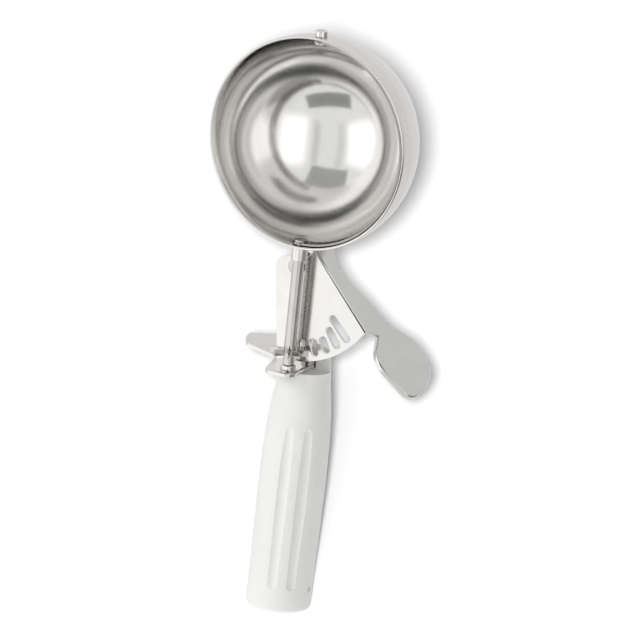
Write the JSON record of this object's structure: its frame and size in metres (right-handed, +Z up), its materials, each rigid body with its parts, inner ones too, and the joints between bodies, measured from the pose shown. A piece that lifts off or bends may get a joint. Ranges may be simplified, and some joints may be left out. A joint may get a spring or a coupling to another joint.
{
  "type": "lever ice cream scoop",
  "caption": "Thumb-lever ice cream scoop: steel half-round bowl with a swinging scraper, a toothed shaft driven by a slotted sector lever, and a fluted plastic grip.",
  "frame": {"origin": "centre of the flat end of the handle", "axes": "+Z up the handle to the bowl, the bowl opens to -Y, the thumb lever stands out to +X"},
  "size_m": [0.0909, 0.0481, 0.2304],
  "materials": {
    "bowl_steel": "drawn stainless steel, spun and polished inside",
    "chrome": "bright polished chrome plate",
    "lever_steel": "stamped stainless sheet, polished",
    "scraper_steel": "stainless strip, satin",
    "pin_steel": "turned stainless steel",
    "spring_steel": "bright spring wire",
    "white_plastic": "white moulded nylon, semi-gloss"
  },
  "bodies": {
    "frame": {"handle": "white_plastic", "tang": "pin_steel", "tang_pin": "pin_steel", "ledge": "chrome", "lower_bushing": "chrome", "frame_strap": "chrome", "bowl": "bowl_steel", "bowl_socket": "chrome", "tip_bushing": "chrome", "pivot_pin": "pin_steel", "pivot_spacer": "pin_steel", "pivot_washer": "pin_steel", "return_spring": "spring_steel"},
    "lever": {"lever": "lever_steel", "thumb_pad": "lever_steel", "return_spring_arm": "spring_steel"},
    "scraper": {"scraper_blade": "scraper_steel", "scraper_tip_pin": "pin_steel", "scraper_shaft": "chrome", "pinion": "chrome"}
  },
  "joints": [
    {"name": "lever_hinge", "type": "hinge", "parent": "frame", "child": "lever", "pos_m": [-0.0032, -0.012, 0.1366], "axis": [0, 1, 0], "range_deg": [0, 34], "stiffness_Nm_per_rad": 0.12, "springref_deg": -20.05},
    {"name": "scraper_hinge", "type": "hinge", "parent": "frame", "child": "scraper", "pos_m": [0, -0.012, 0.187], "axis": [0, 0, 1], "range_deg": [0, 178]}
  ],
  "couplings": [
    {"joint": "scraper_hinge", "follows": "lever_hinge", "ratio": 5.2394}
  ]
}
